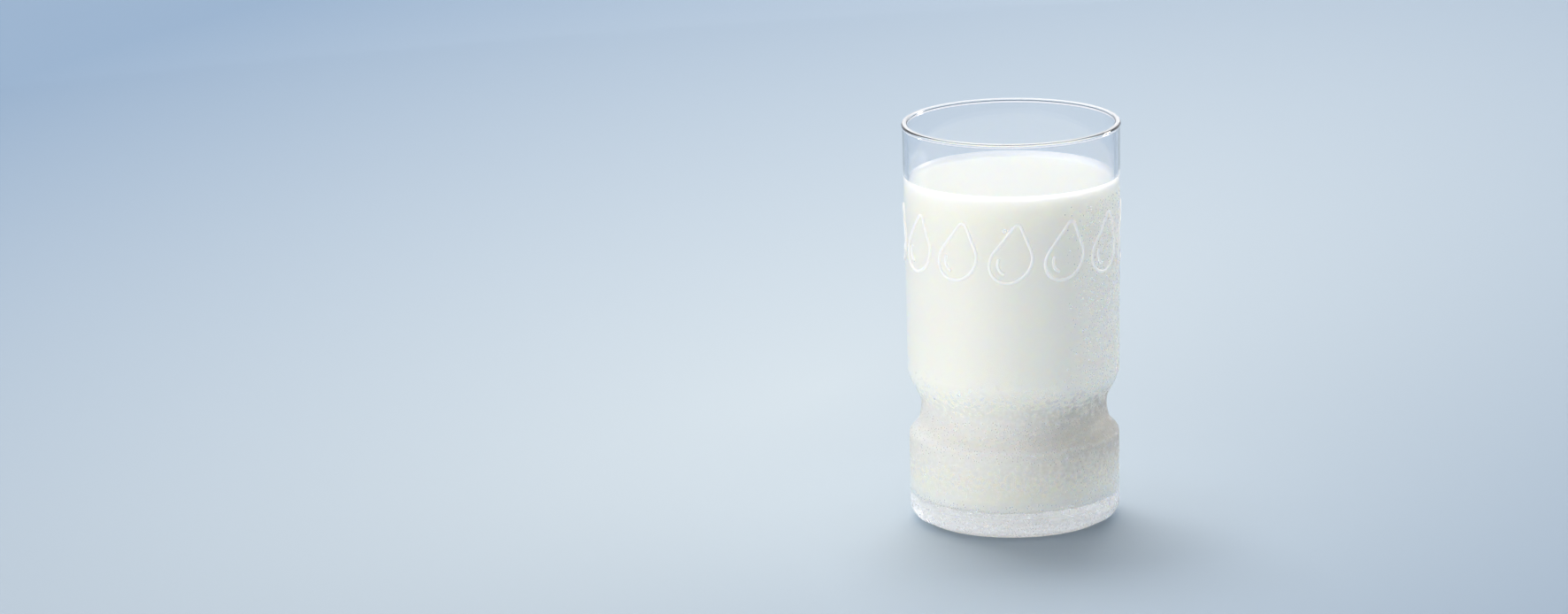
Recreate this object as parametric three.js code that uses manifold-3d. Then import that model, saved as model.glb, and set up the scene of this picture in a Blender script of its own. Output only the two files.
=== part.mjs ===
// A tall drinking glass of milk, in millimetres, +Z up.
// The glass is one solid: a thick base, a rounded lower bulge, a narrow waist, a long body
// with a band of raised drop outlines, and a fire-polished rim. The milk is a second solid,
// which fills it to a little under the rim. The origin is the middle of the ring it stands on.

import * as THREE from 'three';
import { mergeVertices } from 'three/addons/utils/BufferGeometryUtils.js';
import Module from 'manifold-3d';

const wasm = await Module();
wasm.setup();

// Rim and long body of the glass
const HEIGHT = 122.5;
const RIM_RADIUS = 33.0;
const RIM_ROUNDING = 0.88;
const BEAD_HEIGHT = 1.6;
const BEAD_PULL = 0.3;
const BODY_TOP_RADIUS = 32.75;
const BODY_FOOT_RADIUS = 32.05;
const BODY_FOOT_Z = 46.6;

// Waist and lower bulge; a pull is how strongly a curve keeps straight up before it turns
const WAIST_RADIUS = 28.05;
const WAIST_Z = 35.8;
const WAIST_PULL_UP = 3.5;
const WAIST_PULL_DOWN = 8.4;
const BULGE_RADIUS = 31.8;
const BULGE_TOP_Z = 26.0;
const BULGE_PULL = 2.7;

// Base: a rounded corner, a slope under it, and the flat ring round a shallow recess
const CORNER_RADIUS = 5.3;
const SLOPE_RADIUS = 30.4;
const FOOT_RADIUS = 27.0;
const RECESS_RADIUS = 22.6;
const RECESS_DEPTH = 1.3;
const RECESS_FLATNESS = 0.7;

// Walls and floor
const WALL = 2.0;
const RIM_WALL = 1.5;
const FLOOR_Z = 7.6;
const FLOOR_CORNER_RADIUS = 4.0;

// Milk: its flat level, and the edge that climbs the wall
const MILK_LEVEL = 104.6;
const MENISCUS_HEIGHT = 1.7;
const MENISCUS_WIDTH = 2.5;
const MENISCUS_HUG = 0.25;
const CLEARANCE = 0.3;

// Band of raised drop outlines
const DROPS = 12;
const BAND_FOOT_Z = 80.0;
const DROP_RADIUS = 6.4;
const DROP_HEIGHT = 17.6;
const DROP_TIP_RADIUS = 1.3;
const DROP_LEAN = Math.tan(THREE.MathUtils.degToRad(11));
const GLINT_RADIUS = 3.9;
const GLINT_FROM = THREE.MathUtils.degToRad(165);
const GLINT_TO = THREE.MathUtils.degToRad(250);
const LINE_WIDTH = 1.0;
const LINE_HEIGHT = 0.4;
const LINE_ROOT = 0.6;
const LINE_CHAMFER = 0.22;

// Fineness of the faceted solids
const SEGMENTS = 60;
const STEPS = {
  recess: 2,
  corner: 4,
  bend: 6,
  innerBend: 5,
  innerCorner: 3,
  bead: 2,
  rim: 2,
  meniscus: 3,
  dropSide: 6,
  dropTip: 2,
  glint: 3,
};
const SAME_POINT = 1e-4;

const at = (r, z) => new THREE.Vector2(r, z);

// A curve that leaves one radius straight up and arrives at the other straight up
function bend(low, high, pullUp, pullDown) {
  return new THREE.CubicBezierCurve(low, at(low.x, low.y + pullUp), at(high.x, high.y - pullDown), high);
}

function arc(centre, radius, from, to) {
  return new THREE.EllipseCurve(centre.x, centre.y, radius, radius, from, to, from > to);
}

// Joins points and [curve, steps] pairs into one outline without doubled points
function outline(...pieces) {
  const points = pieces.flatMap((piece) => (piece.isVector2 ? [piece] : piece[0].getPoints(piece[1])));
  return points.filter((p, i) => i === 0 || p.distanceTo(points[i - 1]) > SAME_POINT);
}

// The two bends from the bulge through the waist to the body, for a surface set in by inset
function waistCurves(inset, steps) {
  const bulgeTop = at(BULGE_RADIUS - inset, BULGE_TOP_Z);
  const waist = at(WAIST_RADIUS - inset, WAIST_Z);
  const bodyFoot = at(BODY_FOOT_RADIUS - inset, BODY_FOOT_Z);
  return [
    [bend(bulgeTop, waist, BULGE_PULL, WAIST_PULL_DOWN), steps],
    [bend(waist, bodyFoot, WAIST_PULL_UP, WAIST_PULL_UP), steps],
  ];
}

// From the axis under the base, up the outside, to the top of the rim
function outerOutline() {
  const cornerCentre = at(BULGE_RADIUS - CORNER_RADIUS, CORNER_RADIUS);
  const cornerStart = -Math.acos((SLOPE_RADIUS - cornerCentre.x) / CORNER_RADIUS);
  const beadFoot = at(BODY_TOP_RADIUS, HEIGHT - BEAD_HEIGHT);
  const beadTop = at(RIM_RADIUS, HEIGHT - RIM_ROUNDING);
  const rimCentre = at(RIM_RADIUS - RIM_ROUNDING, HEIGHT - RIM_ROUNDING);
  const recess = new THREE.QuadraticBezierCurve(
    at(0, RECESS_DEPTH),
    at(RECESS_RADIUS * RECESS_FLATNESS, RECESS_DEPTH),
    at(RECESS_RADIUS, 0),
  );
  return outline(
    [recess, STEPS.recess],
    at(FOOT_RADIUS, 0),
    [arc(cornerCentre, CORNER_RADIUS, cornerStart, 0), STEPS.corner],
    ...waistCurves(0, STEPS.bend),
    [bend(beadFoot, beadTop, BEAD_PULL, BEAD_PULL), STEPS.bead],
    [arc(rimCentre, RIM_ROUNDING, 0, Math.PI / 2), STEPS.rim],
  );
}

// From the axis on the floor, up the inside; gap sets the surface in from the glass
function innerOutline(gap, top) {
  const inset = WALL + gap;
  const radius = FLOOR_CORNER_RADIUS - gap;
  const cornerCentre = at(BULGE_RADIUS - WALL - FLOOR_CORNER_RADIUS, FLOOR_Z + FLOOR_CORNER_RADIUS);
  return outline(
    at(0, FLOOR_Z + gap),
    [arc(cornerCentre, radius, -Math.PI / 2, 0), STEPS.innerCorner],
    ...waistCurves(inset, STEPS.innerBend),
    ...top,
  );
}

// Radius of the inside wall of the long body at height z
function innerRadius(z) {
  const low = BODY_FOOT_RADIUS - WALL;
  const high = BODY_TOP_RADIUS - RIM_WALL;
  return THREE.MathUtils.mapLinear(z, BODY_FOOT_Z, HEIGHT - BEAD_HEIGHT, low, high);
}

function bodyRadius(z) {
  return THREE.MathUtils.mapLinear(z, BODY_FOOT_Z, HEIGHT - BEAD_HEIGHT, BODY_FOOT_RADIUS, BODY_TOP_RADIUS);
}

// Turns a profile about +Z
function turned(points) {
  return new THREE.LatheGeometry(points, SEGMENTS).rotateX(Math.PI / 2);
}

function tumblerBody() {
  const rimCentre = at(RIM_RADIUS - RIM_ROUNDING, HEIGHT - RIM_ROUNDING);
  const inside = innerOutline(0, [
    at(innerRadius(HEIGHT - BEAD_HEIGHT), HEIGHT - BEAD_HEIGHT),
    [arc(rimCentre, RIM_ROUNDING, Math.PI, Math.PI / 2), STEPS.rim],
  ]);
  return turned(outline(...outerOutline(), ...inside.reverse()));
}

// Leans a flat point of the drawing to the right; x runs along the wall and y up
function lean(p) {
  return at(p.x + (p.y - DROP_HEIGHT / 2 + DROP_RADIUS) * DROP_LEAN, p.y);
}

// Half a drop, set in from its middle line by inset: a round belly and a small round tip
function halfDrop(inset) {
  const tipCentre = at(0, DROP_HEIGHT - DROP_RADIUS - DROP_TIP_RADIUS);
  const flank = Math.asin((DROP_RADIUS - DROP_TIP_RADIUS) / tipCentre.y);
  return outline(
    [arc(at(0, 0), DROP_RADIUS - inset, -Math.PI / 2, flank), STEPS.dropSide],
    [arc(tipCentre, DROP_TIP_RADIUS - inset, flank, Math.PI / 2), STEPS.dropTip],
  );
}

function dropOutline(inset) {
  const right = halfDrop(inset);
  const left = right.slice(1, -1).reverse().map((p) => at(-p.x, p.y));
  return [...right, ...left].map(lean);
}

// The ring between a slightly larger and a slightly smaller drop
function dropShape() {
  const ring = new THREE.Shape(dropOutline(-LINE_WIDTH / 2));
  ring.holes.push(new THREE.Path(dropOutline(LINE_WIDTH / 2)));
  return ring;
}

// The short curved glint in the belly of a drop
function glintShape() {
  const half = LINE_WIDTH / 2;
  const outside = arc(at(0, 0), GLINT_RADIUS + half, GLINT_FROM, GLINT_TO).getPoints(STEPS.glint);
  const inside = arc(at(0, 0), GLINT_RADIUS - half, GLINT_TO, GLINT_FROM).getPoints(STEPS.glint);
  return new THREE.Shape([...outside, ...inside].map(lean));
}

// A flat shape as a raised line with chamfered edges, bent round the wall at an angle
function raised(shape, angle) {
  const line = new THREE.ExtrudeGeometry(shape, {
    depth: LINE_ROOT + LINE_HEIGHT - 2 * LINE_CHAMFER,
    bevelThickness: LINE_CHAMFER,
    bevelSize: LINE_CHAMFER,
    bevelOffset: -LINE_CHAMFER,
    bevelSegments: 1,
  });
  const spots = line.attributes.position;
  for (let i = 0; i < spots.count; i += 1) {
    const z = BAND_FOOT_Z + DROP_RADIUS + spots.getY(i);
    const wall = bodyRadius(z);
    const radius = wall - LINE_ROOT + LINE_CHAMFER + spots.getZ(i);
    const turn = angle + spots.getX(i) / wall;
    spots.setXYZ(i, radius * Math.cos(turn), radius * Math.sin(turn), z);
  }
  return line;
}

// A closed geometry as a solid for joining
function solid(geometry) {
  const bare = geometry.clone();
  bare.deleteAttribute('normal');
  bare.deleteAttribute('uv');
  const merged = mergeVertices(bare, SAME_POINT);
  return new wasm.Manifold(new wasm.Mesh({
    numProp: 3,
    vertProperties: Float32Array.from(merged.attributes.position.array),
    triVerts: Uint32Array.from(merged.index.array),
  }));
}

function geometryOf(body) {
  const mesh = body.getMesh();
  const geometry = new THREE.BufferGeometry();
  geometry.setAttribute('position', new THREE.BufferAttribute(mesh.vertProperties, 3));
  geometry.setIndex(new THREE.BufferAttribute(mesh.triVerts, 1));
  geometry.computeVertexNormals();
  return geometry;
}

function glassMaterial() {
  return new THREE.MeshStandardMaterial({
    color: 0xe4ebf2, roughness: 0.04, metalness: 0, transparent: true, opacity: 0.35,
  });
}

function milkMaterial() {
  return new THREE.MeshStandardMaterial({ color: 0xf4f3ec, roughness: 0.35, metalness: 0 });
}

// The glass with its band of drops fused on
function tumbler() {
  const angles = Array.from({ length: DROPS }, (_, i) => (i / DROPS) * 2 * Math.PI);
  const lines = angles.flatMap((angle) => [raised(dropShape(), angle), raised(glintShape(), angle)]);
  const joined = lines.reduce((body, line) => body.add(solid(line)), solid(tumblerBody()));
  const mesh = new THREE.Mesh(geometryOf(joined), glassMaterial());
  mesh.name = 'glass_tumbler';
  return mesh;
}

// The milk, flat on top with an edge that climbs the wall
function milk() {
  const edgeZ = MILK_LEVEL + MENISCUS_HEIGHT;
  const edge = at(innerRadius(edgeZ) - CLEARANCE, edgeZ);
  const knee = at(edge.x - MENISCUS_HUG, MILK_LEVEL);
  const shore = at(edge.x - MENISCUS_WIDTH, MILK_LEVEL);
  const profile = innerOutline(CLEARANCE, [
    [new THREE.QuadraticBezierCurve(edge, knee, shore), STEPS.meniscus],
    at(0, MILK_LEVEL),
  ]);
  const mesh = new THREE.Mesh(turned(profile), milkMaterial());
  mesh.name = 'milk';
  return mesh;
}

const glassOfMilk = new THREE.Group();
glassOfMilk.add(tumbler(), milk());

export default glassOfMilk;
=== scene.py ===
# %% [markdown]
# # A glass of milk
# A tall pressed drinking glass, filled with milk to a little under the rim.
# The solids come from the frame; here each of them gets a fine surface and a finish:
# the clear glass with its raised drops, the milk that wets the wall, and the
# condensation that a cold drink draws out of the air.

# %% Load the frame
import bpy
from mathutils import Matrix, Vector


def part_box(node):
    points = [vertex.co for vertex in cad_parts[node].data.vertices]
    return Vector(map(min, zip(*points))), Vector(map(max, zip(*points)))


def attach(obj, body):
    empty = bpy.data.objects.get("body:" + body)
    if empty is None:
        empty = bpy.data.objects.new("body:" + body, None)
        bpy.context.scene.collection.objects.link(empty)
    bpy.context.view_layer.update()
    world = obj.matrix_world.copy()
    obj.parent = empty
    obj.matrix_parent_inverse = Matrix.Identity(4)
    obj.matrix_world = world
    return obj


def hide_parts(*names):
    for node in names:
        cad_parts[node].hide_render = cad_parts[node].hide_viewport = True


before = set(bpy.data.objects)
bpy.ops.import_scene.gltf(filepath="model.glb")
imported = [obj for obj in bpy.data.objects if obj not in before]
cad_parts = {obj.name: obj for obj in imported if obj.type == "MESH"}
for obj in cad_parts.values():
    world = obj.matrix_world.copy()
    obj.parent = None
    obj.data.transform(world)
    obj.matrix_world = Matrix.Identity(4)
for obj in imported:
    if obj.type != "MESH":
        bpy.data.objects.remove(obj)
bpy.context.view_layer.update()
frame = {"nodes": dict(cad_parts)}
print("frame nodes:", ", ".join(frame["nodes"]))

# %% [markdown]
# ## Camera
# A long lens that looks down a little, as for a product picture. The glass stands
# to the right of the picture's middle, so the camera looks at it and is then turned
# away by the angle between the two points. A turn needs no lens shift, so the other
# views stay centred.

# %% Camera
import math
import bpy
from mathutils import Quaternion, Vector

PICTURE = (1772, 694)
GLASS_MIDDLE_IN_PICTURE = (1144.7, 367.3)
AIM = Vector((0, 0, 0.060))
VIEW_DISTANCE = 2.35
VIEW_ELEVATION = math.radians(13.88)
VIEW_ROLL = math.radians(-0.62)
LENS_MM = 178.4
SENSOR_MM = 36.0


def angle_off_middle(pixel, middle):
    return math.atan((pixel - middle) / (PICTURE[0] * LENS_MM / SENSOR_MM))


def make_camera():
    camera = bpy.data.objects.new("camera", bpy.data.cameras.new("camera"))
    bpy.context.collection.objects.link(camera)
    camera.data.lens = LENS_MM
    camera.data.sensor_width = SENSOR_MM
    back = Vector((0, -math.cos(VIEW_ELEVATION), math.sin(VIEW_ELEVATION)))
    camera.location = AIM + VIEW_DISTANCE * back
    camera.rotation_mode = "QUATERNION"
    turn_left = Quaternion((0, 1, 0), angle_off_middle(GLASS_MIDDLE_IN_PICTURE[0], PICTURE[0] / 2))
    turn_up = Quaternion((1, 0, 0), angle_off_middle(GLASS_MIDDLE_IN_PICTURE[1], PICTURE[1] / 2))
    roll = Quaternion((0, 0, 1), VIEW_ROLL)
    camera.rotation_quaternion = (-back).to_track_quat("-Z", "Y") @ turn_left @ turn_up @ roll
    bpy.context.scene.camera = camera
    return camera


camera = make_camera()
print("camera", round((camera.location - AIM).length, 3), "m from the glass")

# %% [markdown]
# ## Finishes, made of nodes
# A finish can be drawn by hand in the shader editor, but a recipe in code is easier to
# read and to repeat. Each one starts from a Principled shader, whose plain settings stay
# on the shader's own sockets. The first helpers start a finish and add a node to it.

# %% Helpers for finishes
def start_finish(name, **settings):
    """A new material, its node tree and its main shader with the settings that are the same all over."""
    finish = bpy.data.materials.new(name)
    finish.use_nodes = True
    tree = finish.node_tree
    shader = tree.nodes["Principled BSDF"]
    for key, value in settings.items():
        shader.inputs[key.replace("_", " ")].default_value = value
    return finish, tree, shader


def feed(tree, socket, value):
    """Gives a socket its value: a link from another node, or a plain number or colour."""
    if isinstance(value, bpy.types.NodeSocket):
        tree.links.new(value, socket)
    else:
        socket.default_value = value


def add_node(tree, kind, settings=None, **inputs):
    node = tree.nodes.new(kind)
    for key, value in (settings or {}).items():
        setattr(node, key, value)
    for key, value in inputs.items():
        feed(tree, node.inputs[key.replace("_", " ")], value)
    return node


def colour(red, green, blue):
    """A colour as seen on a screen, 0 to 255, as the linear one that a shader works in."""
    def linear(c):
        c /= 255
        return c / 12.92 if c <= 0.04045 else ((c + 0.055) / 1.055) ** 2.4
    return (linear(red), linear(green), linear(blue), 1)


print("middle grey is", round(colour(128, 128, 128)[0], 3), "to a shader")

# %% [markdown]
# Most recipes below are masks: numbers from 0 to 1 that say how far a mist or a shade
# reaches. They could be painted on the mesh, but a mask worked out from the place itself
# is sharp at any distance and needs no unwrapping. Five small steps build all of them.

# %% Steps that build masks
NOISE_SWING = (0.3, 0.7)


def smooth_step(tree, value, start, end, low=0.0, high=1.0):
    """Low before start, high after end, and a soft change between."""
    step = add_node(
        tree, "ShaderNodeMapRange", {"interpolation_type": "SMOOTHSTEP"},
        Value=value, From_Min=start, From_Max=end, To_Min=low, To_Max=high)
    return step.outputs[0]


def mottle(tree, place, low, high, **noise):
    """Swings between low and high in soft patches; noise takes the scale and detail."""
    patches = add_node(tree, "ShaderNodeTexNoise", Vector=place, **noise)
    return smooth_step(tree, patches.outputs[0], *NOISE_SWING, low, high)


def spread(tree, value, low, high):
    """Turns 0 to 1 into low to high."""
    return add_node(tree, "ShaderNodeMapRange", Value=value, To_Min=low, To_Max=high).outputs[0]


def combine(tree, operation, one, two, clamp=False):
    node = add_node(tree, "ShaderNodeMath", {"operation": operation, "use_clamp": clamp})
    feed(tree, node.inputs[0], one)
    feed(tree, node.inputs[1], two)
    return node.outputs[0]


def colour_mix(tree, part, one, two):
    mix = add_node(tree, "ShaderNodeMix", {"data_type": "RGBA"}, Factor=part)
    feed(tree, mix.inputs[6], one)
    feed(tree, mix.inputs[7], two)
    return mix.outputs[2]


# %% [markdown]
# ## Turned shapes
# Everything round in this picture is turned: the floor, the glass and the milk. A Screw
# modifier could spin a profile, but bmesh gives the closed mesh at once: a line of
# points, spun about the upright axis.

# %% Turning a profile
import bmesh


def turned(name, profile, sides):
    """Spins (radius, height) points about +Z; ends on the axis close the shape."""
    shape = bmesh.new()
    line = [shape.verts.new((radius, 0, height)) for radius, height in profile]
    edges = [shape.edges.new(pair) for pair in zip(line, line[1:])]
    bmesh.ops.spin(
        shape, geom=line + edges, axis=(0, 0, 1), cent=(0, 0, 0),
        steps=sides, angle=2 * math.pi, use_merge=True)
    bmesh.ops.remove_doubles(shape, verts=shape.verts, dist=1e-6)
    bmesh.ops.recalc_face_normals(shape, faces=shape.faces)
    mesh = bpy.data.meshes.new(name)
    shape.to_mesh(mesh)
    shape.free()
    mesh.shade_smooth()
    piece = bpy.data.objects.new(name, mesh)
    bpy.context.collection.objects.link(piece)
    return piece


# %% [markdown]
# ## Floor
# The floor is a pale blue sheet that sweeps up all round, so no horizon shows from any
# side. A flat plane under a coloured sky would do for one view only.

# %% Shape of the floor
FLOOR_DROP = 0.0001
FLOOR_RINGS = (0, 0.2, 0.6, 2.4)
FLOOR_SIDES = 96
SWEEP_RADIUS = 0.9
SWEEP_STEPS = 12
BACKDROP_HEIGHT = 1.5


def floor_profile():
    points = [(radius, 0) for radius in FLOOR_RINGS]
    for step in range(1, SWEEP_STEPS + 1):
        turn = step / SWEEP_STEPS * math.pi / 2
        points.append((FLOOR_RINGS[-1] + SWEEP_RADIUS * math.sin(turn), SWEEP_RADIUS * (1 - math.cos(turn))))
    points.append((FLOOR_RINGS[-1] + SWEEP_RADIUS, SWEEP_RADIUS + BACKDROP_HEIGHT))
    return points


floor = turned("floor", floor_profile(), FLOOR_SIDES)
floor.location.z = -FLOOR_DROP
print("floor", len(floor.data.polygons), "faces")

# %% [markdown]
# The paper is painted brightest a little left of the glass and darker and cooler towards the edges: a
# painted pool of light. A spherical gradient, stretched and turned, paints that pool. A spot lamp could
# light it instead, but would light the glass as well.

# %% Colour of the floor
# Painted pool of light: PALE in its middle, DEEP at its edge and beyond.
PALE = colour(217, 225, 229)
DEEP = colour(142, 164, 188)
POOL_MIDDLE = (-0.064, 0.158, 0)
POOL_TURN = math.radians(69)
POOL_LENGTH = 1.2
POOL_WIDTH = 0.5


def pool_of_light(tree, place):
    """1 in the middle of the pool, 0 at its edge and beyond."""
    moved = add_node(
        tree, "ShaderNodeMapping", {"vector_type": "TEXTURE"}, Vector=place, Location=POOL_MIDDLE,
        Rotation=(0, 0, POOL_TURN), Scale=(POOL_LENGTH, POOL_WIDTH, POOL_LENGTH))
    pool = add_node(tree, "ShaderNodeTexGradient", {"gradient_type": "SPHERICAL"}, Vector=moved.outputs[0])
    return pool.outputs["Fac"]


print("the pool is", 2 * POOL_LENGTH, "m long and", 2 * POOL_WIDTH, "m wide")

# %% [markdown]
# The far sweep glows by itself, as a backdrop with lamps of its own does, so that the
# glass has a bright room to mirror and bend. A small glow under the glass, hidden from
# the camera, stands for the light that a clear base gathers: path tracing would find it
# only after very many samples.

# %% Glow of the floor
SWEEP_LIT = (1.0, 2.2)
UNDER_GLASS = (0.027, 0.035)
UNDER_GLOW = 0.6
GLOW_COLOUR = colour(224, 215, 205)


def floor_glow(tree, place):
    """The far sweep glows for all but diffuse rays, the spot under the glass for all but the camera's."""
    path = add_node(tree, "ShaderNodeLightPath").outputs
    far = add_node(tree, "ShaderNodeVectorMath", {"operation": "LENGTH"})
    feed(tree, far.inputs[0], place)
    distance = far.outputs["Value"]
    sweep = smooth_step(tree, distance, *SWEEP_LIT)
    sweep = combine(tree, "SUBTRACT", sweep, path["Is Diffuse Ray"], clamp=True)
    under = smooth_step(tree, distance, *UNDER_GLASS, UNDER_GLOW, 0.0)
    under = combine(tree, "SUBTRACT", under, path["Is Camera Ray"], clamp=True)
    return combine(tree, "MAXIMUM", sweep, under)


def studio_paper():
    finish, tree, shader = start_finish(
        "studio_paper", Roughness=0.6, Specular_IOR_Level=0.2, Emission_Color=GLOW_COLOUR)
    place = add_node(tree, "ShaderNodeTexCoord").outputs["Object"]
    feed(tree, shader.inputs["Base Color"], colour_mix(tree, pool_of_light(tree, place), DEEP, PALE))
    feed(tree, shader.inputs["Emission Strength"], floor_glow(tree, place))
    return finish


floor.data.materials.append(studio_paper())
print("floor finish:", floor.data.materials[0].name)

# %% [markdown]
# ## Lamps
# The light is soft and comes mostly from high behind: it whitens the top of the milk and
# lets a short, soft shadow fall towards the viewer. A cool lamp above fills the shadow.
# Warm lamps at the left and the front lift the milk and leave its right side darker. A
# weak strip behind on the right draws the far edge of the glass. The lamps are hidden
# from mirror and glass rays, all but the strip, or their corners would show in the rim.

# %% Lamps
WARM = (1.0, 0.93, 0.86)
COOL = (0.88, 0.95, 1.0)
NEUTRAL = (1.0, 1.0, 1.0)


def softbox(name, place, size, watts, tint, mirrored=False):
    lamp = bpy.data.lights.new(name, "AREA")
    lamp.shape = "RECTANGLE"
    lamp.size, lamp.size_y = size
    lamp.energy = watts
    lamp.color = tint
    holder = bpy.data.objects.new(name, lamp)
    bpy.context.collection.objects.link(holder)
    holder.location = place
    holder.rotation_mode = "QUATERNION"
    holder.rotation_quaternion = (AIM - Vector(place)).to_track_quat("-Z", "Y")
    holder.visible_camera = False
    holder.visible_glossy = mirrored
    holder.visible_transmission = mirrored
    return holder


behind = softbox("softbox_behind", place=(-0.3, 1.25, 2.35), size=(1.7, 1.3), watts=50, tint=NEUTRAL)
above = softbox("softbox_above", place=(-0.15, 0.1, 1.9), size=(1.5, 1.5), watts=12, tint=COOL)
left = softbox("softbox_left", place=(-1.6, -0.15, 0.4), size=(0.9, 0.6), watts=11, tint=WARM)
front = softbox("softbox_front", place=(-0.35, -2.9, 0.28), size=(1.8, 0.46), watts=66.5, tint=WARM)
right = softbox("strip_right", place=(1.3, 0.8, 0.4), size=(0.3, 0.7), watts=12, tint=WARM, mirrored=True)
print("lamps:", ", ".join(lamp.name for lamp in (behind, above, left, front, right)))

# %% [markdown]
# The air of the room does two jobs. For what is lit it is only a dim fill, or the shadows
# would wash out. For what the glass mirrors and bends it is a bright room, because clear
# glass shows little but its surroundings.

# %% Air of the room
ROOM_COLOUR = colour(238, 243, 250)
ROOM_SEEN = 1.4
ROOM_FILL = 0.06


def studio_air():
    world = bpy.data.worlds.new("studio")
    world.use_nodes = True
    bpy.context.scene.world = world
    tree = world.node_tree
    sky = tree.nodes["Background"]
    sky.inputs["Color"].default_value = ROOM_COLOUR
    path = add_node(tree, "ShaderNodeLightPath")
    feed(tree, sky.inputs["Strength"], spread(tree, path.outputs["Is Diffuse Ray"], ROOM_SEEN, ROOM_FILL))


studio_air()
bpy.context.scene.view_settings.view_transform = "Standard"
print("room", ROOM_SEEN, "seen and", ROOM_FILL, "as fill")

# %% [markdown]
# ## The glass
# A pressed glass is one solid of revolution: standing ring, rounded bulge, waist, long
# body and a rim melted round by a flame. It could be modelled as a thin shell with a
# Solidify modifier, but the base is thick and the wall is not even, so both outlines
# are drawn. Its sizes come first; the two largest are read from the frame.

# %% Sizes of the glass
MM = 0.001
glass_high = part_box("glass_tumbler")[1]
HEIGHT = glass_high.z
RIM_RADIUS = glass_high.x
RIM_ROUNDING = 0.88 * MM
BEAD_HEIGHT = 1.6 * MM
BEAD_PULL = 0.3 * MM
BODY_TOP = (RIM_RADIUS - 0.25 * MM, HEIGHT - BEAD_HEIGHT)
BODY_FOOT = (32.05 * MM, 46.6 * MM)
WAIST = (28.05 * MM, 35.8 * MM)
BULGE_TOP = (31.8 * MM, 26.0 * MM)
WAIST_PULL_UP = 3.5 * MM
WAIST_PULL_DOWN = 8.4 * MM
BULGE_PULL = 2.7 * MM
CORNER_RADIUS = 5.3 * MM
SLOPE_RADIUS = 30.4 * MM
FOOT_RADIUS = 27.0 * MM
RECESS = (22.6 * MM, 1.3 * MM)
WALL = 2.0 * MM
RIM_WALL = 1.5 * MM
FLOOR_HEIGHT = 7.6 * MM
FLOOR_CORNER = 4.0 * MM
print("glass", round(2 * RIM_RADIUS / MM, 1), "mm across and", round(HEIGHT / MM, 1), "mm high")

# %% [markdown]
# An outline needs only a few kinds of line. Round stretches are arcs, and the bends of
# the waist are Bezier curves that leave and arrive upright, as they do in the mould.
# Straight walls get a very short step at each end: without it, smooth shading would
# carry the light of a bend far along the wall.

# %% Lines for the outlines
from mathutils import geometry

GUARD = 0.1 * MM
SAME_POINT = 1e-6


def arc(centre, radius, start, end, steps):
    turns = [math.radians(start + (end - start) * i / steps) for i in range(steps + 1)]
    return [(centre[0] + radius * math.cos(t), centre[1] + radius * math.sin(t)) for t in turns]


def bend(low, high, pull_up, pull_down, steps):
    knots = [Vector(low), Vector((low[0], low[1] + pull_up))]
    knots += [Vector((high[0], high[1] - pull_down)), Vector(high)]
    return [tuple(point) for point in geometry.interpolate_bezier(*knots, steps + 1)]


def straight(start, end, steps):
    return [tuple(Vector(start).lerp(Vector(end), i / steps)) for i in range(steps + 1)]


def wall_run(start, end, steps):
    """A straight stretch with a guard step at each end."""
    guard = GUARD / (Vector(end) - Vector(start)).length
    parts = [0, guard] + [i / steps for i in range(1, steps)] + [1 - guard, 1]
    return [tuple(Vector(start).lerp(Vector(end), part)) for part in parts]


def without_doubles(points):
    kept = [points[0]]
    for point in points[1:]:
        if (Vector(point) - Vector(kept[-1])).length > SAME_POINT:
            kept.append(point)
    return kept


print("a quarter turn in 8 steps has", len(arc((0, 0), RIM_ROUNDING, 0, 90, 8)), "points")

# %% [markdown]
# The outside runs from the middle of the shallow recess, over the ring that the glass
# stands on, up to the top of the rim. The bends of the waist are a function of depth,
# because the inside of the wall follows the same curves.

# %% Outside of the glass
RECESS_CURVE = ((0, 1), (0.35, 0.96), (0.7, 0.7), (0.9, 0.3), (1, 0))
RIM_MIDDLE = (RIM_RADIUS - RIM_ROUNDING, HEIGHT - RIM_ROUNDING)
BEND_STEPS = 20
WALL_STEPS = 16
CORNER_STEPS = 12
BULGE_STEPS = 6
BEAD_STEPS = 6
RIM_STEPS = 8


def set_in(point, depth):
    return (point[0] - depth, point[1])


def waist_bends(depth):
    waist = set_in(WAIST, depth)
    return (
        bend(set_in(BULGE_TOP, depth), waist, BULGE_PULL, WAIST_PULL_DOWN, BEND_STEPS)
        + bend(waist, set_in(BODY_FOOT, depth), WAIST_PULL_UP, WAIST_PULL_UP, BEND_STEPS))


def outer_outline():
    corner = (BULGE_TOP[0] - CORNER_RADIUS, CORNER_RADIUS)
    corner_start = -math.degrees(math.acos((SLOPE_RADIUS - corner[0]) / CORNER_RADIUS))
    return without_doubles(
        [(RECESS[0] * across, RECESS[1] * up) for across, up in RECESS_CURVE]
        + [(FOOT_RADIUS, 0)]
        + arc(corner, CORNER_RADIUS, corner_start, 0, CORNER_STEPS)
        + wall_run((BULGE_TOP[0], CORNER_RADIUS), BULGE_TOP, BULGE_STEPS)
        + waist_bends(0)
        + wall_run(BODY_FOOT, BODY_TOP, WALL_STEPS)
        + bend(BODY_TOP, (RIM_RADIUS, RIM_MIDDLE[1]), BEAD_PULL, BEAD_PULL, BEAD_STEPS)
        + arc(RIM_MIDDLE, RIM_ROUNDING, 0, 90, RIM_STEPS))


outer = outer_outline()
print("outside", len(outer), "points")

# %% [markdown]
# The inside has a flat floor with a round corner, and a wall that gets thinner towards
# the rim. The milk later follows the same line a hair deeper, so the even part of the
# wall is a function of depth too. The two outlines together, spun, are the whole glass.

# %% Inside of the glass
GLASS_SIDES = 256
INNER_FLOOR_STEPS = 4
INNER_CORNER_STEPS = 10
INNER_BULGE_STEPS = 5


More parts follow.
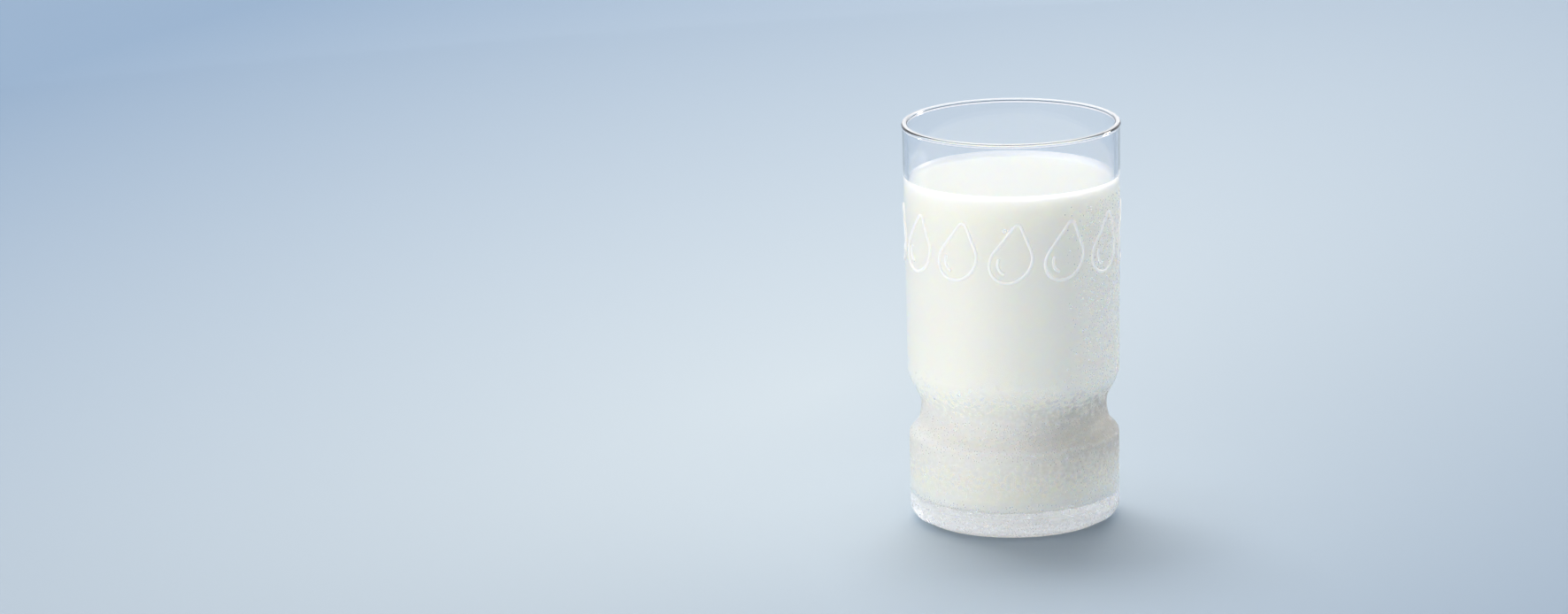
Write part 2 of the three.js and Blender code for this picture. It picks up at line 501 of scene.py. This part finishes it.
def inside_wall(depth):
    """From the floor's middle to the top of the even wall, depth into the glass."""
    corner = (BULGE_TOP[0] - WALL - FLOOR_CORNER, FLOOR_HEIGHT + FLOOR_CORNER)
    side = BULGE_TOP[0] - WALL + depth
    return (
        wall_run((0, FLOOR_HEIGHT - depth), (corner[0], FLOOR_HEIGHT - depth), INNER_FLOOR_STEPS)
        + arc(corner, FLOOR_CORNER + depth, -90, 0, INNER_CORNER_STEPS)
        + wall_run((side, corner[1]), (side, BULGE_TOP[1]), INNER_BULGE_STEPS)
        + waist_bends(WALL - depth))


def inner_radius(height):
    foot, top = BODY_FOOT[0] - WALL, BODY_TOP[0] - RIM_WALL
    part = (height - BODY_FOOT[1]) / (BODY_TOP[1] - BODY_FOOT[1])
    return foot + (top - foot) * part


def inner_outline():
    foot = (inner_radius(BODY_FOOT[1]), BODY_FOOT[1])
    top = (inner_radius(BODY_TOP[1]), BODY_TOP[1])
    return without_doubles(
        inside_wall(0)
        + wall_run(foot, top, WALL_STEPS)
        + arc(RIM_MIDDLE, RIM_ROUNDING, 180, 90, RIM_STEPS))


outline = without_doubles(outer + inner_outline()[::-1])
glass_body = turned("glass_of_pressed_drops", outline, GLASS_SIDES)
print("glass body", len(glass_body.data.polygons), "faces")

# %% [markdown]
# ## Raised drops
# The mould leaves a band of raised outlines on the wall: leaning drops, each with a
# short glint in its belly. A bump map would not bend the light at their edges, so each
# line is a real bead. First comes the drawing: a round belly, two straight flanks that
# leave it without a corner, and a small round tip.

# %% Drawing of one drop
DROPS = 12
BAND_FOOT = 80.0 * MM
DROP_RADIUS = 6.4 * MM
DROP_HEIGHT = 17.6 * MM
DROP_TIP = 1.3 * MM
DROP_LEAN = math.tan(math.radians(11))
GLINT_RADIUS = 3.9 * MM
GLINT_TURNS = (165, 250)
GLINT_STEPS = 12
BELLY_STEPS = 22
FLANK_STEPS = 8
TIP_STEPS = 8


def lean(point):
    return (point[0] + (point[1] - DROP_HEIGHT / 2 + DROP_RADIUS) * DROP_LEAN, point[1])


def drop_line():
    tip = (0, DROP_HEIGHT - DROP_RADIUS - DROP_TIP)
    flank = math.degrees(math.asin((DROP_RADIUS - DROP_TIP) / tip[1]))
    belly = arc((0, 0), DROP_RADIUS, -90, flank, BELLY_STEPS)
    top = arc(tip, DROP_TIP, flank, 90, TIP_STEPS)
    right = belly + straight(belly[-1], top[0], FLANK_STEPS)[1:] + top[1:]
    left = [(-x, y) for x, y in right[-2:0:-1]]
    return [lean(point) for point in right + left]


def glint_line():
    return [lean(point) for point in arc((0, 0), GLINT_RADIUS, *GLINT_TURNS, GLINT_STEPS)]


print("drop line", len(drop_line()), "points; glint", len(glint_line()))

# %% [markdown]
# A bead has a rounded crown above the wall and a root that sinks into it, so that the
# later union has no faces that only touch. Its section is carried along the drawing, and
# every point is bent round the wall at its own height. A curve with a bevel could do
# that on a flat sheet, but not round a glass.

# %% Section of a bead
LINE_WIDTH = 1.0 * MM
LINE_HEIGHT = 0.4 * MM
LINE_ROOT = 0.6 * MM
CROWN_TURNS = range(0, 181, 20)
TINY = 1e-9


def section():
    """Half an ellipse above the wall, on a root that sinks into it: (across, out) pairs."""
    half = LINE_WIDTH / 2
    turns = [math.radians(turn) for turn in CROWN_TURNS]
    crown = [(half * math.cos(turn), LINE_HEIGHT * math.sin(turn)) for turn in turns]
    return [(half, -LINE_ROOT)] + crown + [(-half, -LINE_ROOT)]


def outer_radius(height):
    """Radius of the outside at a height above the recess."""
    wall = [point for point in outer if point[0] > FOOT_RADIUS]
    for (r0, z0), (r1, z1) in zip(wall, wall[1:]):
        if z0 <= height <= z1:
            return r0 + (r1 - r0) * (height - z0) / max(z1 - z0, TINY)
    return wall[0][0]


def bent_round(x, y, out, angle):
    height = BAND_FOOT + DROP_RADIUS + y
    wall = outer_radius(height)
    turn = angle + x / wall
    return ((wall + out) * math.cos(turn), (wall + out) * math.sin(turn), height)


print("a bead's section has", len(section()), "corners")

# %% [markdown]
# The sweep sets a ring of the section square to the drawing at each of its points, and
# joins each ring to the next. A closed line meets its own start; an open one gets a cap
# at both ends.

# %% Sweeping the section
def rings_along(shape, line, angle, closed):
    rings = []
    for i, (x, y) in enumerate(line):
        before = line[i - 1] if closed or i else line[i]
        after = line[(i + 1) % len(line)] if closed or i < len(line) - 1 else line[i]
        along = (Vector(after) - Vector(before)).normalized()
        places = [bent_round(x + along.y * a, y - along.x * a, out, angle) for a, out in section()]
        rings.append([shape.verts.new(place) for place in places])
    return rings


def sweep(shape, line, angle, closed):
    rings = rings_along(shape, line, angle, closed)
    for i in range(len(line) if closed else len(line) - 1):
        one, two = rings[i], rings[(i + 1) % len(line)]
        for k in range(len(one)):
            m = (k + 1) % len(one)
            shape.faces.new((one[k], one[m], two[m], two[k]))
    if not closed:
        shape.faces.new(rings[0])
        shape.faces.new(rings[-1][::-1])


# %% [markdown]
# The mould carries the drops at even turns round the wall, and so does the loop here.
# An array modifier turned about an empty would give the same copies, but would have to
# be applied before the union. The loop puts all the beads into one mesh at once.

# %% The band of beads
def raised_lines():
    shape = bmesh.new()
    for i in range(DROPS):
        angle = i / DROPS * 2 * math.pi
        sweep(shape, drop_line(), angle, True)
        sweep(shape, glint_line(), angle, False)
    bmesh.ops.recalc_face_normals(shape, faces=shape.faces)
    mesh = bpy.data.meshes.new("raised_lines")
    shape.to_mesh(mesh)
    shape.free()
    lines = bpy.data.objects.new("raised_lines", mesh)
    bpy.context.collection.objects.link(lines)
    return lines


lines = raised_lines()
print("band", len(lines.data.polygons), "faces")

# %% [markdown]
# ## Soft light through glass
# Glass bends light, and a path tracer finds the bright patches behind it slowly and with
# much noise. So only what is seen or mirrored meets the glass shader; shadow and
# diffuse rays pass straight through, tinted, and the milk behind is lit cleanly.

# %% Soft light through glass
GLASS_INDEX = 1.5
CLEAR = (0.97, 0.975, 0.99, 1)


def let_soft_light_through(tree, shader, tint):
    """Tint is a colour, or a socket that gives one."""
    path = add_node(tree, "ShaderNodeLightPath").outputs
    soft = combine(tree, "MAXIMUM", path["Is Shadow Ray"], path["Is Diffuse Ray"])
    clear = add_node(tree, "ShaderNodeBsdfTransparent", Color=tint)
    mixed = add_node(tree, "ShaderNodeMixShader")
    tree.links.new(soft, mixed.inputs[0])
    tree.links.new(shader.outputs[0], mixed.inputs[1])
    tree.links.new(clear.outputs[0], mixed.inputs[2])
    tree.links.new(mixed.outputs[0], tree.nodes["Material Output"].inputs["Surface"])


print("glass of index", GLASS_INDEX)

# %% [markdown]
# ## Where the glass is misted
# A cold glass mists unevenly: most on one side, in the crease over the bulge and at the
# foot. One finish with masks serves the whole glass better than many slots, because the
# mist has no hard edges. The masks come from the height and from the direction that
# the wall faces. Fine noise added to the height makes the mist's edge ragged.

# %% Height and direction on the glass
COLD_SIDE = math.radians(5)
RAGGED_EDGE = 28 * MM


def height_and_flat(tree, place):
    """Height above the floor, and the level vector from the axis."""
    parts = add_node(tree, "ShaderNodeSeparateXYZ", Vector=place).outputs
    flat = add_node(tree, "ShaderNodeCombineXYZ", X=parts["X"], Y=parts["Y"])
    return parts["Z"], flat.outputs[0]


def towards_cold_side(tree, flat):
    """1 on the cold side, -1 opposite."""
    around = add_node(tree, "ShaderNodeVectorMath", {"operation": "NORMALIZE"})
    feed(tree, around.inputs[0], flat)
    towards = add_node(tree, "ShaderNodeVectorMath", {"operation": "DOT_PRODUCT"})
    feed(tree, towards.inputs[0], around.outputs[0])
    towards.inputs[1].default_value = (math.cos(COLD_SIDE), math.sin(COLD_SIDE), 0)
    return towards.outputs["Value"]


def ragged_height(tree, place, height):
    grain = add_node(tree, "ShaderNodeTexNoise", Vector=place, Scale=700.0, Detail=3.0)
    uneven = combine(tree, "MULTIPLY", combine(tree, "SUBTRACT", grain.outputs[0], 0.5), RAGGED_EDGE)
    return combine(tree, "ADD", height, uneven)


print("cold side at", round(math.degrees(COLD_SIDE)), "degrees")

# %% [markdown]
# Each mask is a soft step up times a soft step down. Plain numbers on a gradient ramp
# would look the same, but these are heights in millimetres, which can be measured on
# the real glass.

# %% Masks of the mist and of the painted shade
COLD_REACH = (0.3, 1.0)
WET_TOP = (92 * MM, 106 * MM)
CREASE_START = (12 * MM, 29 * MM)
CREASE_END = (33 * MM, 46 * MM)
# The painted shade in the crease grows towards the cold side, from CREASE_LEAST of its full depth on the far
# side.
CREASE_TURN = (-0.3, 0.9)
CREASE_LEAST = 0.28
FOOT_TOP = (4 * MM, 12 * MM)
# Painted shade on the bulge fades out between these heights.
BULGE_FADE = (26 * MM, 40 * MM)
# Where the painted highlight lies on the crest of the rim.
RIM_TOP = (HEIGHT - 0.35 * MM, HEIGHT - 0.12 * MM)


def mist_and_shade_masks(tree, place):
    """Masks from 0 to 1: band runs round the crease, and crease is its part that the light misses, where
    shade is painted, most on the cold side; bulge is where shade is painted low on the glass.
    """
    height, flat = height_and_flat(tree, place)
    towards = towards_cold_side(tree, flat)
    below_the_rim = smooth_step(tree, height, *WET_TOP, 1.0, 0.0)
    ragged = ragged_height(tree, place, height)
    below_the_crease = smooth_step(tree, ragged, *CREASE_END, 1.0, 0.0)
    band = combine(tree, "MULTIPLY", smooth_step(tree, ragged, *CREASE_START), below_the_crease)
    shade_towards_cold_side = smooth_step(tree, towards, *CREASE_TURN, CREASE_LEAST, 1.0)
    return {
        "side": combine(tree, "MULTIPLY", smooth_step(tree, towards, *COLD_REACH), below_the_rim),
        "band": band,
        "crease": combine(tree, "MULTIPLY", band, shade_towards_cold_side),
        "foot": smooth_step(tree, height, *FOOT_TOP, 1.0, 0.0),
        "bulge": smooth_step(tree, height, *BULGE_FADE, 1.0, 0.0),
        "rim_top": smooth_step(tree, height, *RIM_TOP),
    }


print("mist from", CREASE_START[0] / MM, "to", CREASE_END[1] / MM, "mm in the crease")

# %% [markdown]
# A melted rim works as a tiny lens: from any side it shows fine dark rings, where it
# bends what is dark in a room. This room is bright all round, so the shape alone gives
# none, and two are drawn on the rounding instead, by the distance from a ring.

# %% Fine rings of the rim
RING_TURNS = (math.radians(38), math.radians(158))
RING_BAND = (0.08 * MM, 0.20 * MM)


def rim_rings(tree, place):
    """1 on two fine rings of the rim's rounding, 0 elsewhere."""
    height, flat = height_and_flat(tree, place)
    radius = add_node(tree, "ShaderNodeVectorMath", {"operation": "LENGTH"})
    feed(tree, radius.inputs[0], flat)
    rings = []
    for turn in RING_TURNS:
        ring_radius = RIM_MIDDLE[0] + RIM_ROUNDING * math.cos(turn)
        ring_height = RIM_MIDDLE[1] + RIM_ROUNDING * math.sin(turn)
        across = combine(tree, "SUBTRACT", radius.outputs["Value"], ring_radius)
        up = combine(tree, "SUBTRACT", height, ring_height)
        across = combine(tree, "MULTIPLY", across, across)
        up = combine(tree, "MULTIPLY", up, up)
        away = combine(tree, "SQRT", combine(tree, "ADD", across, up), 0.0)
        rings.append(smooth_step(tree, away, *RING_BAND, 1.0, 0.0))
    return combine(tree, "MAXIMUM", *rings)


print("rings at", [round(math.degrees(turn)) for turn in RING_TURNS], "degrees of the rounding")

# %% [markdown]
# ## Finish of the clear glass
# Pressed glass has slow waves in its wall, and dew and ripples make its foot sparkle.
# Mist roughens the surface and lays a thin white veil on it, so there some light comes back before it goes
# through. On the crest of the rim the same white veil is a painted highlight. The veil is done by lowering
# the transmission: a mixed-in second shader would do the same with more nodes.

# %% Surface of the glass
RIPPLE_FLATNESS = 4.0
SMOOTH = 0.01
MISTED = 0.4
CREASED = 0.65
FULLY_CREASED = 0.7
CREASE_VEIL = 0.4
FOOT_VEIL = 0.38
# Painted highlight: a white veil on the crest of the rim.
PAINTED_RIM_HIGHLIGHT = 0.75


def glass_relief(tree, place, foot):
    """Slow waves all over, and small level ripples in the foot."""
    flow = add_node(tree, "ShaderNodeTexNoise", Vector=place, Scale=60.0, Detail=2.0)
    waves = add_node(tree, "ShaderNodeBump", Height=flow.outputs[0], Strength=0.1, Distance=0.0002)
    level = add_node(tree, "ShaderNodeMapping", Vector=place, Scale=(1, 1, RIPPLE_FLATNESS))
    chill = add_node(tree, "ShaderNodeTexNoise", Vector=level.outputs[0], Scale=260.0, Detail=3.0)
    ripples = add_node(
        tree, "ShaderNodeBump", Height=combine(tree, "MULTIPLY", chill.outputs[0], foot),
        Strength=0.8, Distance=0.0006, Normal=waves.outputs[0])
    return ripples.outputs[0]


def glass_roughness(tree, place, mist):
    fog = combine(tree, "MAXIMUM", combine(tree, "MAXIMUM", mist["side"], mist["crease"]), mist["foot"])
    fog = combine(tree, "MULTIPLY", fog, mottle(tree, place, 0.5, 1.0, Scale=300.0, Detail=4.0))
    creased = smooth_step(tree, mist["band"], 0.0, FULLY_CREASED, 0.0, CREASED)
    return combine(tree, "MAXIMUM", spread(tree, fog, SMOOTH, MISTED), creased)


def veil_and_rim_highlight(tree, mist):
    veil = combine(tree, "MULTIPLY", mist["band"], CREASE_VEIL)
    veil = combine(tree, "MAXIMUM", veil, combine(tree, "MULTIPLY", mist["foot"], FOOT_VEIL))
    # The painted highlight on the rim's crest.
    return combine(tree, "MAXIMUM", veil, combine(tree, "MULTIPLY", mist["rim_top"], PAINTED_RIM_HIGHLIGHT))


print("roughness from", SMOOTH, "to", CREASED)

# %% [markdown]
# Two colours make the glass: the one that is seen, and the tint of the soft light that passes. Both carry
# painted shade: the glass seen over the crease is darker, most on the cold side, and the soft light that
# passes the crease and the bulge is tinted darker, so the milk behind them is a little darker than behind
# the clear wall. At the foot the thick misted glass holds some light back, and the tint there also makes the
# shadow under the glass deeper and bluer as painted shadow.

# %% Clear glass
# Painted shade: the colour of the glass seen over the crease.
PAINTED_CREASE_SHADE = (0.48, 0.48, 0.46, 1)
RIM_RING = (0.10, 0.13, 0.16, 1)
# Painted shade in the tint of the soft light behind the bulge and the crease. At the foot the tint is partly
# thick misted glass and partly painted shadow, deeper and bluer under the glass.
BULGE_SHADE = (0.83, 0.84, 0.85, 1)
CREASE_SHADE = (0.73, 0.73, 0.72, 1)
FOOT_SHADE = (0.80, 0.85, 0.92, 1)


def clear_glass():
    finish, tree, shader = start_finish("clear_glass", IOR=GLASS_INDEX)
    place = add_node(tree, "ShaderNodeTexCoord").outputs["Object"]
    mist = mist_and_shade_masks(tree, place)
    feed(tree, shader.inputs["Normal"], glass_relief(tree, place, mist["foot"]))
    feed(tree, shader.inputs["Roughness"], glass_roughness(tree, place, mist))
    feed(tree, shader.inputs["Transmission Weight"], combine(tree, "SUBTRACT", 1.0, veil_and_rim_highlight(tree, mist)))
    # Painted shade over the crease, most on the cold side.
    seen_with_painted_shade = colour_mix(tree, mist["crease"], CLEAR, PAINTED_CREASE_SHADE)
    feed(tree, shader.inputs["Base Color"], colour_mix(tree, rim_rings(tree, place), seen_with_painted_shade, RIM_RING))
    # The soft light is tinted with painted shade behind the bulge and the crease, and with the foot's tint
    # below.
    shade = colour_mix(tree, mist["bulge"], CLEAR, BULGE_SHADE)
    shade = colour_mix(tree, mist["crease"], shade, CREASE_SHADE)
    let_soft_light_through(tree, shader, colour_mix(tree, mist["foot"], shade, FOOT_SHADE))
    return finish


glass_finish = clear_glass()
print("clear glass has", len(glass_finish.node_tree.nodes), "nodes")

# %% [markdown]
# ## Finish of the raised lines
# The tops of the pressed lines are a little worn and rough, so they catch light of
# their own and stand out from the milk. Clear glass alone would lose them.

# %% Frosted lines
LINE_COLOUR = (1.0, 1.0, 0.985, 1)
LINE_TINT = (0.97, 0.98, 0.99, 1)
LINE_WEAR = (0.3, 0.45)


def frosted_lines():
    finish, tree, shader = start_finish(
        "frosted_lines", Base_Color=LINE_COLOUR, IOR=GLASS_INDEX, Transmission_Weight=0.35)
    place = add_node(tree, "ShaderNodeTexCoord").outputs["Object"]
    feed(tree, shader.inputs["Roughness"], mottle(tree, place, *LINE_WEAR, Scale=80.0, Detail=1.0))
    let_soft_light_through(tree, shader, LINE_TINT)
    return finish


line_finish = frosted_lines()
print("frosted lines have", len(line_finish.node_tree.nodes), "nodes")

# %% [markdown]
# ## Glass and lines become one
# On the real glass the lines are part of the wall. Beads that only stand in it would
# show their roots through the glass, so one Boolean union joins them. Each solid brings
# its own finish slot, and the union keeps both.

# %% Join the lines to the glass
SHARP_EDGE = math.radians(40)


def join_solids(base, extra):
    union = base.modifiers.new("union", "BOOLEAN")
    union.operation = "UNION"
    union.solver = "MANIFOLD"
    union.object = extra
    bpy.context.view_layer.objects.active = base
    bpy.ops.object.modifier_apply(modifier=union.name)
    bpy.data.objects.remove(extra)


for finish in (glass_finish, line_finish):
    glass_body.data.materials.append(finish)
    lines.data.materials.append(finish)
for face in lines.data.polygons:
    face.material_index = 1
join_solids(glass_body, lines)
glass_body.data.shade_smooth()
glass_body.data.set_sharp_from_angle(angle=SHARP_EDGE)
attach(glass_body, "root")
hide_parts("glass_tumbler")
line_faces = sum(face.material_index == 1 for face in glass_body.data.polygons)
print("glass", len(glass_body.data.polygons), "faces,", line_faces, "of them on the lines")

# %% [markdown]
# ## The milk
# Milk wets glass, so its edge climbs the wall in a narrow curve. The body could be cut
# from a block by the glass with a Boolean, but the outline is known, so it is turned
# like the glass. It reaches just into the wall, so no air shows between them.

# %% Shape of the milk
milk_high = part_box("milk")[1]
REACH = 0.05 * MM
MILK_LEVEL = 104.6 * MM
MILK_SIDES = 192
MENISCUS_HEIGHT = milk_high.z - MILK_LEVEL
MENISCUS_WIDTH = 2.5 * MM
MENISCUS_STEPS = 14
MENISCUS_CURVE = ((0.06, 0.2), (0.4, 0), (1.3, 0))
MILK_WALL_STEPS = 14
MILK_FLAT_STEPS = 8


def meniscus():
    """From the wet edge on the wall down to the flat of the milk."""
    edge = (inner_radius(milk_high.z), milk_high.z)
    knots = [Vector(edge)]
    for across, up in MENISCUS_CURVE:
        knots.append(Vector((edge[0] - MENISCUS_WIDTH * across, MILK_LEVEL + MENISCUS_HEIGHT * up)))
    return [tuple(point) for point in geometry.interpolate_bezier(*knots, MENISCUS_STEPS)]


def milk_outline():
    foot = (inner_radius(BODY_FOOT[1]) + REACH, BODY_FOOT[1])
    wet_edge = (inner_radius(milk_high.z) + REACH, milk_high.z)
    shore = meniscus()
    return without_doubles(
        inside_wall(REACH)
        + wall_run(foot, wet_edge, MILK_WALL_STEPS)
        + shore
        + straight(shore[-1], (0, MILK_LEVEL), MILK_FLAT_STEPS))


milk = turned("milk_to_the_wall", milk_outline(), MILK_SIDES)
milk.data.set_sharp_from_angle(angle=SHARP_EDGE)
print("milk", len(milk.data.polygons), "faces")

# %% [markdown]
# Light goes some millimetres into milk before it comes out again: the thin edge glows
# and the shadows stay soft. Plain white paint would look like plaster, so the shader
# scatters under the surface, red the furthest. The cream is not quite even, in colour
# nor in gloss.

# %% Finish of the milk
CREAM = colour(254, 248, 233)
WHITE = colour(254, 250, 236)
MILK_GLOSS = (0.18, 0.28)
MILK_INDEX = 1.35
MILK_DEPTH = 9.0 * MM
MILK_COLOUR_DEPTH = (1.0, 0.85, 0.6)


def milk_finish():
    finish, tree, shader = start_finish(
        "milk", IOR=MILK_INDEX, Subsurface_Weight=1.0,
        Subsurface_Radius=MILK_COLOUR_DEPTH, Subsurface_Scale=MILK_DEPTH)
    place = add_node(tree, "ShaderNodeTexCoord").outputs["Object"]
    cream = add_node(tree, "ShaderNodeTexNoise", Vector=place, Scale=35.0, Detail=3.0)
    feed(tree, shader.inputs["Base Color"], colour_mix(tree, cream.outputs[0], CREAM, WHITE))
    feed(tree, shader.inputs["Roughness"], spread(tree, cream.outputs[0], *MILK_GLOSS))
    return finish


milk.data.materials.append(milk_finish())
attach(milk, "root")
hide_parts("milk")
print("milk stands", round(milk_high.z / MM, 1), "mm high at the wall")

# %% [markdown]
# ## Dew
# Moisture settles on cold glass as tiny domes of water: thick on the shaded side, in the
# crease over the bulge and round the foot, with a few larger drops elsewhere. Particles
# would be quick to set up, but real geometry keeps the drops in an export. A drop's
# place is a part of the way up the outside, and an angle round it.

# %% Where a drop may sit
import random

DEW_TOP = 104 * MM


def outside_path():
    """The outer outline from the standing ring up to the level of the milk."""
    path = [point for point in outer if point[0] >= FOOT_RADIUS and point[1] <= DEW_TOP]
    lengths = [0]
    for one, two in zip(path, path[1:]):
        lengths.append(lengths[-1] + (Vector(two) - Vector(one)).length)
    return path, lengths


def on_the_outside(path, lengths, part):
    """Radius and height at a part of the path, with the direction that points outward."""
    target = part * lengths[-1]
    i = next(i for i in range(1, len(lengths)) if lengths[i] >= target)
    one, two = Vector(path[i - 1]), Vector(path[i])
    spot = one.lerp(two, (target - lengths[i - 1]) / (lengths[i] - lengths[i - 1]))
    along = (two - one).normalized()
    return spot, Vector((along.y, -along.x))


path, lengths = outside_path()
print("path up the outside", round(lengths[-1] / MM, 1), "mm")

# %% [markdown]
# Real drops that touch run together, so none may overlap. Comparing every drop with
# every other would be slow; a grid of small cells means that each new drop is compared
# only with its near neighbours. The draw is seeded, so it is the same each time.

# %% Setting out the drops
CELL = 1.5 * MM
TRIES_FOR_EACH = 40
FULLNESS = (0.22, 0.42)


def home_cell(centre):
    return tuple(int(c // CELL) for c in centre)


def stands_clear(centre, radius, taken):
    x, y, z = home_cell(centre)
    near = [
        drop for dx in (-1, 0, 1) for dy in (-1, 0, 1) for dz in (-1, 0, 1)
        for drop in taken.get((x + dx, y + dy, z + dz), ())]
    return all((centre - other).length >= radius + size for other, size in near)


def set_out(rng, count, sizes, thickness, taken):
    """Draws drops until count of them stand clear; thickness(angle, height) is 0 to 1."""
    smallest, largest, rarity = sizes
    drops = []
    for _ in range(count * TRIES_FOR_EACH):
        if len(drops) == count:
            break
        angle = rng.uniform(0, 2 * math.pi)
        spot, outward = on_the_outside(path, lengths, rng.random())
        if rng.random() > thickness(angle, spot.y):
            continue
        radius = smallest + (largest - smallest) * rng.random() ** rarity
        centre = Vector((spot.x * math.cos(angle), spot.x * math.sin(angle), spot.y))
        if not stands_clear(centre, radius, taken):
            continue
        taken.setdefault(home_cell(centre), []).append((centre, radius))
        out = Vector((outward.x * math.cos(angle), outward.x * math.sin(angle), outward.y))
        drops.append((centre, radius, out, rng.uniform(*FULLNESS)))
    return drops


print("cells of", CELL / MM, "mm keep the drops apart")

# %% [markdown]
# A drop this small is a low dome, held flat by the glass. Two rings of points and a top
# are enough at its size, and a closed underside, sunk a hair into the wall, keeps each
# dome a proper solid. A patch of them is one joined mesh.

# %% Shape of the drops
DOME_SIDES = 8
DOME_RINGS = ((1.0, 0.0), (0.72, 0.62))
DOME_SHARP = math.radians(60)
SUNK = 0.03 * MM


def domes(name, drops):
    points, faces = [], []
    for centre, radius, out, fullness in drops:
        across = out.orthogonal().normalized()
        up = out.cross(across)
        first = len(points)
        for ring, lift in DOME_RINGS:
            for i in range(DOME_SIDES):
                turn = 2 * math.pi * i / DOME_SIDES
                side = (across * math.cos(turn) + up * math.sin(turn)) * radius * ring
                points.append(centre + side + out * (radius * fullness * lift - SUNK))
        points.append(centre + out * (radius * fullness - SUNK))
        low = list(range(first, first + DOME_SIDES))
        high = [i + DOME_SIDES for i in low]
        faces.append(low[::-1])
        for i in range(DOME_SIDES):
            j = (i + 1) % DOME_SIDES
            faces.append((low[i], low[j], high[j], high[i]))
            faces.append((high[i], high[j], first + 2 * DOME_SIDES))
    mesh = bpy.data.meshes.new(name)
    mesh.from_pydata(points, [], faces)
    mesh.shade_smooth()
    mesh.set_sharp_from_angle(angle=DOME_SHARP)
    piece = bpy.data.objects.new(name, mesh)
    bpy.context.collection.objects.link(piece)
    return piece


print("a dome has", 1 + 2 * DOME_SIDES, "faces")

# %% [markdown]
# How thick the dew lies is a rule of angle and height for each patch, with soft ramps at
# its edges. The rules use the same cold side as the mist, so that mist and drops agree.

# %% The patches of dew
def ramp(value, start, end):
    part = min(max((value - start) / (end - start), 0), 1)
    return part * part * (3 - 2 * part)


def facing(angle, middle):
    return math.cos(angle - middle)


def on_the_cold_side(angle, height):
    return ramp(facing(angle, COLD_SIDE), 0.35, 0.85) * ramp(height, 8 * MM, 14 * MM)


def over_the_bulge(angle, height):
    crease = ramp(height, 22 * MM, 27 * MM) * ramp(height, 37 * MM, 33 * MM)
    return crease * (0.35 + 0.65 * ramp(facing(angle, COLD_SIDE), -0.4, 0.6))


def round_the_foot(angle, height):
    return ramp(height, 12 * MM, 7 * MM)


def anywhere(angle, height):
    return ramp(height, 12 * MM, 20 * MM)


print("dew at the foot, 8 mm up:", round(round_the_foot(0, 8 * MM), 2))

# %% [markdown]
# Water is clear and very smooth, but drops this small show in a picture mostly as white
# glints. Their shader is clear for the most part and plain white for the rest, which
# gives them that without waiting for caustics.

# %% Finish of the water
WATER_COLOUR = (0.98, 0.99, 1.0, 1)
WATER_INDEX = 1.33
WATER_ROUGHNESS = (0.0, 0.05)
UNTINTED = (1, 1, 1, 1)


def dew_water():
    finish, tree, shader = start_finish(
        "dew_water", Base_Color=WATER_COLOUR, Transmission_Weight=0.7, IOR=WATER_INDEX)
    place = add_node(tree, "ShaderNodeTexCoord").outputs["Object"]
    feed(tree, shader.inputs["Roughness"], mottle(tree, place, *WATER_ROUGHNESS, Scale=500.0, Detail=1.0))
    let_soft_light_through(tree, shader, UNTINTED)
    return finish


water = dew_water()
print("water finish:", water.name)

# %% [markdown]
# Now the dew is laid, the large drops first, because the small ones then fill in round
# them. Each row gives a patch's name, its count, the smallest and largest radius with
# how rare the large ones are, and its rule.

# %% Lay the dew
DEW = (
    ("large_drops", 26, (0.35 * MM, 0.75 * MM, 2.0), anywhere),
    ("dew_on_the_cold_side", 6600, (0.09 * MM, 0.30 * MM, 2.2), on_the_cold_side),
    ("dew_over_the_bulge", 4200, (0.08 * MM, 0.26 * MM, 2.0), over_the_bulge),
    ("dew_round_the_foot", 4200, (0.10 * MM, 0.26 * MM, 1.6), round_the_foot),
)
rng = random.Random(11)
taken = {}
patches = []
for name, count, sizes, thickness in DEW:
    dew = domes(name, set_out(rng, count, sizes, thickness, taken))
    dew.data.materials.append(water)
    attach(dew, "root")
    patches.append(dew)
    print(name, len(dew.data.polygons) // (1 + 2 * DOME_SIDES), "drops")

# %% [markdown]
# ## Flags on the lamps
# The lamps at the sides and the front are flagged off the floor, as a photographer
# would, so that they lift the milk and leave the shadow under the glass deep and cool.
# In Blender that is light linking: a lamp lights only the pieces in its collection.

# %% Flag the lamps
served = bpy.data.collections.new("glass_and_milk")
for piece in [glass_body, milk] + patches:
    served.objects.link(piece)
for lamp in (left, front, right):
    lamp.light_linking.receiver_collection = served
